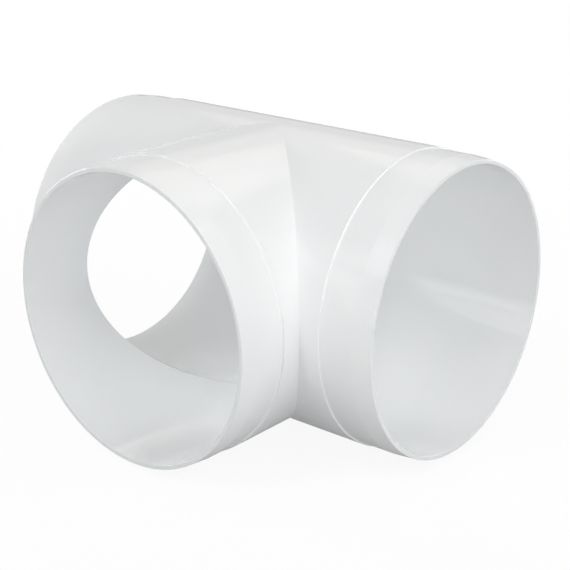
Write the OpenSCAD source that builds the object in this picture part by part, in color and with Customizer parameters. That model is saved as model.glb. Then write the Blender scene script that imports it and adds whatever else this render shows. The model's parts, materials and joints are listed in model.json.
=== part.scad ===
// Round duct tee, moulded in one piece: three equal legs that meet at right angles.
// The run lies along X, the branch points along -Y, and the origin is where their axes cross.
// A body tube carries a spigot at each end. The spigots push into the duct pipe.

/* [Spigots] */
// Outer diameter of the spigots, which fit inside the pipe
spigot_d = 100; // [63:0.5:160]
// Wall of the spigots
spigot_wall = 2; // [1.8:0.1:4]
// Length of each spigot on the run, from the body's shoulder to the rim
run_spigot_len = 19.1; // [15:0.1:60]
// Length of the spigot on the branch, from the body's shoulder to the rim
branch_spigot_len = 18; // [15:0.1:60]

/* [Lead-in taper] */
// Length of the taper at the end of every spigot
taper_len = 7; // [3:0.5:10]
// How much the taper draws in the radius at the rim
taper_drop = 0.6; // [0.2:0.1:1]

/* [Body] */
// How far the body stands out over the spigots, all round
body_step = 0.55; // [0.2:0.05:0.8]
// Straight length of body on each leg, from the side of the crossing tube to the shoulder
body_collar = 7; // [3:0.5:60]

/* [Edges] */
// Rounding of the shoulder's outer corner
shoulder_round_r = 0.3; // [0.3:0.1:0.8]
// Fillet at the shoulder's foot, where the spigot starts
shoulder_fillet_r = 0.6; // [0.5:0.1:1.5]
// Rounding of both edges of the rims
rim_round_r = 0.2; // [0.1:0.05:0.25]

/* [Hidden] */
$fn = 192;

spigot_r = spigot_d / 2;
bore_r = spigot_r - spigot_wall;
body_r = spigot_r + body_step;
rim_r = spigot_r - taper_drop;

// Every leg's body ends at the shoulder, at this distance from the crossing
shoulder_at = body_r + body_collar;
run_half = shoulder_at + run_spigot_len;
branch_reach = shoulder_at + branch_spigot_len;

// Outlines that only touch run this far into each other, so that they always join
overlap = 0.001;

// The shoulder is two arcs, its outer corner and its foot. Here are the distance between their centres,
// the part of that distance that goes across the leg, and the place of the foot's centre along the leg.
arc_centres = shoulder_round_r + shoulder_fillet_r - overlap;
arc_rise = shoulder_round_r + shoulder_fillet_r - body_step;
foot_at = shoulder_at + sqrt(pow(arc_centres, 2) - pow(arc_rise, 2));

white_plastic = [0.95, 0.95, 0.945];

// Section through one wall of a leg, from the crossing to the rim: radius across, distance up
module wall_section(reach) {
    corner = [body_r - shoulder_round_r, shoulder_at];
    foot = [spigot_r + shoulder_fillet_r, foot_at];
    touch = corner + (foot - corner) * shoulder_round_r / arc_centres;

    // The rim's outer rounding touches the taper and the rim's flat face
    taper_side = norm([taper_len, taper_drop]);
    outer_edge = [rim_r - rim_round_r * (taper_side - taper_drop) / taper_len, reach - rim_round_r];
    taper_end = outer_edge + (rim_round_r - overlap) * [taper_len, taper_drop] / taper_side;
    inner_edge = [bore_r + rim_round_r, reach - rim_round_r];

    difference() {
        union() {
            polygon([
                [bore_r, 0],
                [body_r, 0],
                [body_r, shoulder_at],
                touch,
                [spigot_r, foot_at],
                [spigot_r, reach - taper_len],
                taper_end,
                [outer_edge[0], reach],
                [inner_edge[0], reach],
                [bore_r, inner_edge[1]]
            ]);
            translate(corner) circle(shoulder_round_r);
            translate(outer_edge) circle(rim_round_r);
            translate(inner_edge) circle(rim_round_r);
        }
        translate(foot) circle(shoulder_fillet_r);
    }
}

// The straight tube of the run, from rim to rim along X
module run_tube() {
    rotate([0, 90, 0])
        rotate_extrude() {
            wall_section(run_half);
            mirror([0, 1]) wall_section(run_half);
        }
}

// The tube of the branch, from the run's axis to its rim. Like the run's, its seam lies underneath.
module branch_tube() {
    rotate([90, 90, 0])
        rotate_extrude() wall_section(branch_reach);
}

// All that lies between the two mitre planes, which stand at 45 degrees to both tubes
module mitre_wedge() {
    side = run_half + branch_reach;
    linear_extrude(height = 4 * body_r, center = true)
        polygon([[0, 0], [-side, -side], [side, -side]]);
}

// The tubes are equal, so they meet along the mitre planes inside and outside
module tee() {
    color(white_plastic)
        union() {
            difference() {
                run_tube();
                mitre_wedge();
            }
            intersection() {
                branch_tube();
                mitre_wedge();
            }
        }
}

tee();
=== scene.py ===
import json
import math

import bpy
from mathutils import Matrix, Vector


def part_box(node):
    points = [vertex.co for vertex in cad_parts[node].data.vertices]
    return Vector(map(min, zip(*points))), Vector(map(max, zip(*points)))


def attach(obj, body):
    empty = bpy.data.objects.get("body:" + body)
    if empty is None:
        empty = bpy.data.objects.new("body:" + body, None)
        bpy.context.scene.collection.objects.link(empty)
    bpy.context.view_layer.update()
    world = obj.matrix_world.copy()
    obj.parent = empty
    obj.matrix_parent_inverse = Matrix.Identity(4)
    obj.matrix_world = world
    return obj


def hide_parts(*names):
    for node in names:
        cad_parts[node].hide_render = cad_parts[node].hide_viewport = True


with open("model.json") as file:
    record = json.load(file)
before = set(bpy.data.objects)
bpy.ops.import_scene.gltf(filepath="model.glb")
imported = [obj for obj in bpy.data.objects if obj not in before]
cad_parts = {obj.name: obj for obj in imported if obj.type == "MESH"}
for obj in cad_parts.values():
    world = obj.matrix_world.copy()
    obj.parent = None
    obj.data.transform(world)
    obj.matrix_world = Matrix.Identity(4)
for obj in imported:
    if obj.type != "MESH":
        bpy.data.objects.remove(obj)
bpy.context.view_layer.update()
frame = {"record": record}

# The tee: one hollow injection moulding in glossy white plastic, with three equal open legs.
# Each leg is a body tube, a shallow shoulder, a spigot and a tapered lead-in. The legs meet on sharp
# mitres, inside and outside, with a hairline fillet along the outer crease.
MM = 0.001
tee_low, tee_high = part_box("tee")
mount_r = {m["name"]: m["dims"]["r_mm"] * MM for m in frame["record"]["mounts"]}
body_r = -tee_low.z
spigot_r = mount_r["spigot_right"]
bore_r = mount_r["run_bore"]
run_reach = tee_high.x
branch_reach = -tee_low.y

body_collar = 7 * MM
shoulder_round_r = 0.1 * MM
shoulder_fillet_r = 0.25 * MM
taper_len = 7 * MM
taper_drop = 0.6 * MM
taper_edge = 0.12 * MM
rim_round_r = 0.2 * MM
crease_fillet_r = 0.1 * MM
crease_support = 0.9 * MM
ROUND_SIDES = 288
quarter = math.pi / 2


def arc(centre, radius, start, end, steps):
    """Points along an arc in the section of a wall: (distance from the axis, distance from the crossing)."""
    turns = [start + (end - start) * n / steps for n in range(steps + 1)]
    return [(centre[0] + radius * math.cos(t), centre[1] + radius * math.sin(t)) for t in turns]


def wall_outline(reach):
    """The rings of one leg: out along the body and spigot, over the rim, and back down the bore."""
    shoulder_at = body_r + body_collar
    foot_at = shoulder_at + shoulder_round_r + shoulder_fillet_r
    corner = (body_r - shoulder_round_r, shoulder_at)
    foot = (spigot_r + shoulder_fillet_r, foot_at)
    slope = math.atan2(taper_drop, taper_len)
    taper_at = reach - taper_len
    rim_r = spigot_r - taper_drop
    outer_edge_r = rim_r - rim_round_r * (1 - math.sin(slope)) / math.cos(slope)
    outer_edge = (outer_edge_r, reach - rim_round_r)
    inner_edge = (bore_r + rim_round_r, reach - rim_round_r)
    rings = [(body_r, 0), (body_r, body_r + 1.5 * MM), (body_r, shoulder_at - 1 * MM)]
    rings += arc(corner, shoulder_round_r, 0, quarter, 4)
    rings += arc(foot, shoulder_fillet_r, 3 * quarter, 2 * quarter, 6)
    rings += [(spigot_r, foot_at + 1 * MM), (spigot_r, taper_at - taper_edge)]
    rings += [(spigot_r - taper_edge * math.tan(slope), taper_at + taper_edge)]
    rings += arc(outer_edge, rim_round_r, slope, quarter, 4)
    rings += arc(inner_edge, rim_round_r, quarter, 2 * quarter, 4)
    rings += [(bore_r, reach - 1 * MM), (bore_r, body_r + body_collar), (bore_r, body_r), (bore_r, 0)]
    return rings


def cut_mitre(piece, side, keep):
    """Cuts a leg off at one of the two mitre planes, and lays a support edge beside the cut.

    side is 1 for the mitre on the right and -1 for the one on the left. keep is 1 on the legs of the run
    and -1 on the branch.
    """
    across = Vector((side, 1, 0)).normalized() * keep
    bpy.ops.object.mode_set(mode="EDIT")
    bpy.ops.mesh.select_mode(type="FACE")
    bpy.ops.mesh.select_all(action="SELECT")
    bpy.ops.mesh.bisect(plane_co=(0, 0, 0), plane_no=across, clear_inner=True, threshold=1e-7)
    bpy.ops.mesh.select_all(action="DESELECT")
    bpy.ops.object.mode_set(mode="OBJECT")
    for face in piece.data.polygons:
        face.select = side * face.center.x > 0
    bpy.ops.object.mode_set(mode="EDIT")
    bpy.ops.mesh.bisect(plane_co=across * crease_support, plane_no=across, threshold=1e-7)
    bpy.ops.object.mode_set(mode="OBJECT")


def leg(name, reach, turn, mitres, keep):
    """One leg from the crossing to its rim, open at the crossing, where the mitre planes cut it."""
    bpy.ops.object.select_all(action="DESELECT")
    rings = wall_outline(reach)
    bpy.ops.mesh.primitive_circle_add(vertices=ROUND_SIDES, radius=rings[0][0], fill_type="NOTHING")
    piece = bpy.context.object
    piece.name = name
    bpy.ops.object.mode_set(mode="EDIT")
    bpy.ops.mesh.select_mode(type="EDGE")
    bpy.ops.mesh.select_all(action="SELECT")
    for (r, at), (next_r, next_at) in zip(rings, rings[1:]):
        bpy.ops.mesh.extrude_region_move(TRANSFORM_OT_translate={"value": (0, 0, next_at - at)})
        if next_r != r:
            grow = next_r / r
            bpy.ops.transform.resize(value=(grow, grow, 1), center_override=(0, 0, 0))
    bpy.ops.object.mode_set(mode="OBJECT")
    piece.rotation_euler = turn
    bpy.ops.object.transform_apply(location=False, rotation=True, scale=False)
    for side in mitres:
        cut_mitre(piece, side, keep)
    return piece


legs = [
    leg("tee_right", run_reach, (0, quarter, 0), mitres=[1], keep=1),
    leg("tee_left", run_reach, (0, -quarter, 0), mitres=[-1], keep=1),
    leg("tee_branch", branch_reach, (quarter, 0, 0), mitres=[1, -1], keep=-1),
]

bpy.ops.object.select_all(action="DESELECT")
for piece in legs:
    piece.select_set(True)
bpy.context.view_layer.objects.active = legs[0]
bpy.ops.object.join()
tee = bpy.context.object
tee.name = "tee_moulding"
bpy.ops.object.mode_set(mode="EDIT")
bpy.ops.mesh.select_all(action="SELECT")
bpy.ops.mesh.remove_doubles(threshold=0.01 * MM)
bpy.ops.mesh.normals_make_consistent(inside=False)
bpy.ops.object.mode_set(mode="OBJECT")

crease = tee.data.attributes.new("bevel_weight_edge", "FLOAT", "EDGE")
for edge in tee.data.edges:
    a, b = (tee.data.vertices[n].co for n in edge.vertices)
    middle = (a + b) / 2
    on_mitre = all(abs(abs(p.x) + p.y) < 0.002 * MM for p in (a, b))
    outside = math.hypot(middle.x, middle.z) > (body_r + bore_r) / 2
    if on_mitre and outside and (b - a).length > 0.01 * MM:
        up = middle.z / body_r
        spread = math.sqrt(max(0, 1 - up * up) / (1 + up * up))
        crease.data[edge.index].value = spread if spread > 0.03 else 0

fillet = tee.modifiers.new("crease_fillet", "BEVEL")
fillet.limit_method = "WEIGHT"
fillet.offset_type = "OFFSET"
fillet.width = crease_fillet_r
fillet.segments = 4
fillet.profile = 0.5
fillet.use_clamp_overlap = False
bpy.ops.object.select_all(action="DESELECT")
tee.select_set(True)
bpy.context.view_layer.objects.active = tee
bpy.ops.object.modifier_apply(modifier=fillet.name)
bpy.ops.object.shade_smooth_by_angle(angle=math.radians(35))
evened = tee.modifiers.new("evened_shading", "WEIGHTED_NORMAL")
evened.mode = "FACE_AREA"
evened.weight = 100
evened.keep_sharp = True
bpy.ops.object.modifier_apply(modifier=evened.name)

# Glossy white plastic as it leaves the mould: an even colour with a faint drift where it flowed, a skin
# that is a little duller in places, long shallow waves, and the fine unevenness of a moulded surface.
# The rims carry painted shade: their colour is a shade greyer than the walls, so the end faces render darker.
plastic = bpy.data.materials.new("white_plastic_moulded")
plastic.use_nodes = True
nodes, links = plastic.node_tree.nodes, plastic.node_tree.links
skin = nodes["Principled BSDF"]
skin.inputs["IOR"].default_value = 1.45
place = nodes.new("ShaderNodeTexCoord")


def plastic_noise(per_metre, detail, roughness):
    """A noise on the plastic, with this many features to the metre."""
    noise = nodes.new("ShaderNodeTexNoise")
    noise.inputs["Scale"].default_value = per_metre
    noise.inputs["Detail"].default_value = detail
    noise.inputs["Roughness"].default_value = roughness
    links.new(place.outputs["Object"], noise.inputs["Vector"])
    return noise.outputs["Fac"]


flow = nodes.new("ShaderNodeValToRGB")
flow.color_ramp.elements[0].position = 0.35
flow.color_ramp.elements[0].color = (0.864, 0.878, 0.887, 1)
flow.color_ramp.elements[1].position = 0.65
flow.color_ramp.elements[1].color = (0.882, 0.892, 0.896, 1)
links.new(plastic_noise(per_metre=24, detail=3, roughness=0.5), flow.inputs["Fac"])

# Painted shade on the rims: the colour greys over the last 0.3 mm before each leg's end, so the end faces
# render darker.
spot = nodes.new("ShaderNodeSeparateXYZ")
links.new(place.outputs["Object"], spot.inputs[0])
run_end = nodes.new("ShaderNodeMath")
run_end.operation = "ABSOLUTE"
links.new(spot.outputs["X"], run_end.inputs[0])
past_run = nodes.new("ShaderNodeMath")
past_run.operation = "SUBTRACT"
past_run.inputs[1].default_value = run_reach
links.new(run_end.outputs[0], past_run.inputs[0])
past_branch = nodes.new("ShaderNodeMath")
past_branch.operation = "SUBTRACT"
past_branch.inputs[0].default_value = -branch_reach
links.new(spot.outputs["Y"], past_branch.inputs[1])
nearest_end = nodes.new("ShaderNodeMath")
nearest_end.operation = "MAXIMUM"
links.new(past_run.outputs[0], nearest_end.inputs[0])
links.new(past_branch.outputs[0], nearest_end.inputs[1])
rim = nodes.new("ShaderNodeMapRange")
rim.inputs["From Min"].default_value = -0.3 * MM
rim.inputs["From Max"].default_value = -0.1 * MM
links.new(nearest_end.outputs[0], rim.inputs["Value"])
painted_rim_shade = nodes.new("ShaderNodeMix")
painted_rim_shade.data_type = "RGBA"
painted_rim_shade.inputs["B"].default_value = (0.825, 0.838, 0.846, 1)
links.new(rim.outputs["Result"], painted_rim_shade.inputs["Factor"])
links.new(flow.outputs["Color"], painted_rim_shade.inputs["A"])
links.new(painted_rim_shade.outputs["Result"], skin.inputs["Base Color"])

gloss = nodes.new("ShaderNodeMapRange")
gloss.inputs["From Min"].default_value = 0.3
gloss.inputs["From Max"].default_value = 0.7
gloss.inputs["To Min"].default_value = 0.09
gloss.inputs["To Max"].default_value = 0.14
links.new(plastic_noise(per_metre=60, detail=4, roughness=0.6), gloss.inputs["Value"])
links.new(gloss.outputs["Result"], skin.inputs["Roughness"])

peel = nodes.new("ShaderNodeMath")
peel.operation = "MULTIPLY_ADD"
peel.inputs[1].default_value = 0.06
links.new(plastic_noise(per_metre=420, detail=1, roughness=0.4), peel.inputs[0])
links.new(plastic_noise(per_metre=32, detail=0, roughness=0.5), peel.inputs[2])
uneven = nodes.new("ShaderNodeBump")
uneven.inputs["Distance"].default_value = 0.04 * MM
uneven.inputs["Strength"].default_value = 1
links.new(peel.outputs[0], uneven.inputs["Height"])
links.new(uneven.outputs["Normal"], skin.inputs["Normal"])
tee.data.materials.clear()
tee.data.materials.append(plastic)

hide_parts("tee")
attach(tee, "root")

# The floor: a flat, plain pale sheet of white paper under the tee. The camera sees it at plain white,
# and nearly so close to the tee, where its shadow stays faint. It throws back less light than white
# paper would, so the underside stays darker.
PAPER_COLOUR = 0.95
PAPER_BOUNCE = 0.5
WHITE_NEAR_TEE = 0.92
FLOOR_WHITE_IN_GLOSS = 0.35


def ray_kinds(tree):
    """1 on rays straight from the camera, and 1 on rays that come off gloss or through glass."""
    rays = tree.nodes.new("ShaderNodeLightPath")
    either = tree.nodes.new("ShaderNodeMath")
    either.operation = "MAXIMUM"
    tree.links.new(rays.outputs["Is Glossy Ray"], either.inputs[0])
    tree.links.new(rays.outputs["Is Transmission Ray"], either.inputs[1])
    return rays.outputs["Is Camera Ray"], either.outputs[0]


def white_share(tree, in_gloss):
    """How much of what a ray sees is plain white: all for the camera, and in_gloss in reflections."""
    seen, mirrored = ray_kinds(tree)
    total = tree.nodes.new("ShaderNodeMath")
    total.operation = "MULTIPLY_ADD"
    total.inputs[1].default_value = in_gloss
    tree.links.new(mirrored, total.inputs[0])
    tree.links.new(seen, total.inputs[2])
    return total.outputs[0]


bpy.ops.object.select_all(action="DESELECT")
bpy.ops.mesh.primitive_plane_add(size=12, location=(0, 0, tee_low.z))
floor = bpy.context.object
floor.name = "floor"
paper = bpy.data.materials.new("floor_paper")
paper.use_nodes = True
nodes, links = paper.node_tree.nodes, paper.node_tree.links
surface = nodes["Principled BSDF"]
surface.inputs["Roughness"].default_value = 0.9
surface.inputs["Specular IOR Level"].default_value = 0
seen, mirrored = ray_kinds(paper.node_tree)
tint = nodes.new("ShaderNodeMix")
tint.data_type = "RGBA"
tint.inputs["A"].default_value = (PAPER_BOUNCE, PAPER_BOUNCE, PAPER_BOUNCE, 1)
tint.inputs["B"].default_value = (PAPER_COLOUR, PAPER_COLOUR, PAPER_COLOUR, 1)
links.new(seen, tint.inputs["Factor"])
links.new(tint.outputs["Result"], surface.inputs["Base Color"])
paper_place = nodes.new("ShaderNodeTexCoord")
away = nodes.new("ShaderNodeVectorMath")
away.operation = "LENGTH"
links.new(paper_place.outputs["Object"], away.inputs[0])
whitening = nodes.new("ShaderNodeMapRange")
whitening.inputs["From Min"].default_value = 0.12
whitening.inputs["From Max"].default_value = 0.4
whitening.inputs["To Min"].default_value = WHITE_NEAR_TEE
links.new(away.outputs["Value"], whitening.inputs["Value"])
shadow_zone = nodes.new("ShaderNodeMath")
shadow_zone.operation = "MULTIPLY"
links.new(whitening.outputs["Result"], shadow_zone.inputs[0])
links.new(white_share(paper.node_tree, in_gloss=FLOOR_WHITE_IN_GLOSS), shadow_zone.inputs[1])
glow = nodes.new("ShaderNodeEmission")
glow.inputs["Strength"].default_value = 1.0
blend = nodes.new("ShaderNodeMixShader")
links.new(shadow_zone.outputs[0], blend.inputs["Fac"])
links.new(surface.outputs["BSDF"], blend.inputs[1])
links.new(glow.outputs["Emission"], blend.inputs[2])
links.new(blend.outputs["Shader"], nodes["Material Output"].inputs["Surface"])
floor.data.materials.append(paper)

# The camera, at the photograph's viewing angle.
azimuth = math.radians(39.99)
elevation = math.radians(19.895)
camera_data = bpy.data.cameras.new("camera")
camera_data.lens = 84.745
camera_data.sensor_width = 36
camera = bpy.data.objects.new("camera", camera_data)
camera.location = (0.29136, -0.34452, 0.15470)
camera.rotation_euler = (math.radians(90) - elevation, 0, azimuth)
camera_data.clip_start = 0.01
bpy.context.scene.collection.objects.link(camera)
bpy.context.scene.camera = camera

# The studio light: softboxes and reflector cards round the tee, and an even fill from the room.
# Azimuth runs as the camera's does: 0 is in front of the branch, 90 is off the run's right end.
LAMP_DISTANCE = 1.2
WARM = (1, 0.96, 0.84)


def softbox(name, azimuth, elevation, width, height, watts, colour=(1, 1, 1)):
    """A rectangular soft lamp that faces the tee from LAMP_DISTANCE away."""
    turn, lift = math.radians(azimuth), math.radians(elevation)
    towards = Vector((math.sin(turn) * math.cos(lift), -math.cos(turn) * math.cos(lift), math.sin(lift)))
    data = bpy.data.lights.new(name, "AREA")
    data.shape = "RECTANGLE"
    data.size = width
    data.size_y = height
    data.energy = watts
    data.color = colour
    lamp = bpy.data.objects.new(name, data)
    lamp.location = towards * LAMP_DISTANCE
    lamp.rotation_euler = towards.to_track_quat("Z", "Y").to_euler()
    lamp.visible_camera = False
    bpy.context.scene.collection.objects.link(lamp)


softbox("left_softbox", azimuth=-88, elevation=10, width=0.9, height=0.5, watts=10)
softbox("left_top_card", azimuth=-90, elevation=27, width=0.3, height=0.2, watts=0.45)
softbox("front_left_softbox", azimuth=-25, elevation=42, width=0.55, height=0.5, watts=1.3)
softbox("front_left_card", azimuth=-31, elevation=20, width=0.3, height=0.3, watts=0.4)
softbox("front_left_strip", azimuth=-31, elevation=8, width=0.3, height=0.14, watts=0.25)
softbox("front_softbox", azimuth=-5, elevation=44, width=0.22, height=0.65, watts=3.0)
softbox("front_top_softbox", azimuth=14, elevation=56, width=0.42, height=0.25, watts=1.25)
softbox("overhead_softbox", azimuth=10, elevation=74, width=0.5, height=0.45, watts=0.45)
softbox("low_softbox", azimuth=56, elevation=5, width=0.95, height=0.3, watts=5.4)
softbox("right_softbox", azimuth=97, elevation=37, width=0.8, height=0.38, watts=4.8)
softbox("right_back_card", azimuth=131, elevation=63, width=0.45, height=0.45, watts=0.8)
softbox("back_softbox", azimuth=169, elevation=9, width=0.9, height=0.42, watts=6.5)
softbox("back_left_softbox", azimuth=-157, elevation=48, width=0.75, height=0.55, watts=0.85, colour=WARM)
softbox("back_left_wide_softbox", azimuth=-155, elevation=43, width=0.95, height=0.95, watts=0.95, colour=WARM)

ROOM_FILL = 0.04
ROOM_WHITE_IN_GLOSS = 0.68
world = bpy.data.worlds.new("studio")
bpy.context.scene.world = world
world.use_nodes = True
nodes, links = world.node_tree.nodes, world.node_tree.links
room = nodes["Background"]
room.inputs["Color"].default_value = (1, 1, 1, 1)
room.inputs["Strength"].default_value = ROOM_FILL
backdrop = nodes.new("ShaderNodeBackground")
backdrop.inputs["Color"].default_value = (1, 1, 1, 1)
backdrop.inputs["Strength"].default_value = 1
blend = nodes.new("ShaderNodeMixShader")
links.new(white_share(world.node_tree, in_gloss=ROOM_WHITE_IN_GLOSS), blend.inputs["Fac"])
links.new(room.outputs["Background"], blend.inputs[1])
links.new(backdrop.outputs["Background"], blend.inputs[2])
links.new(blend.outputs["Shader"], nodes["World Output"].inputs["Surface"])

bpy.context.scene.view_settings.view_transform = "Standard"
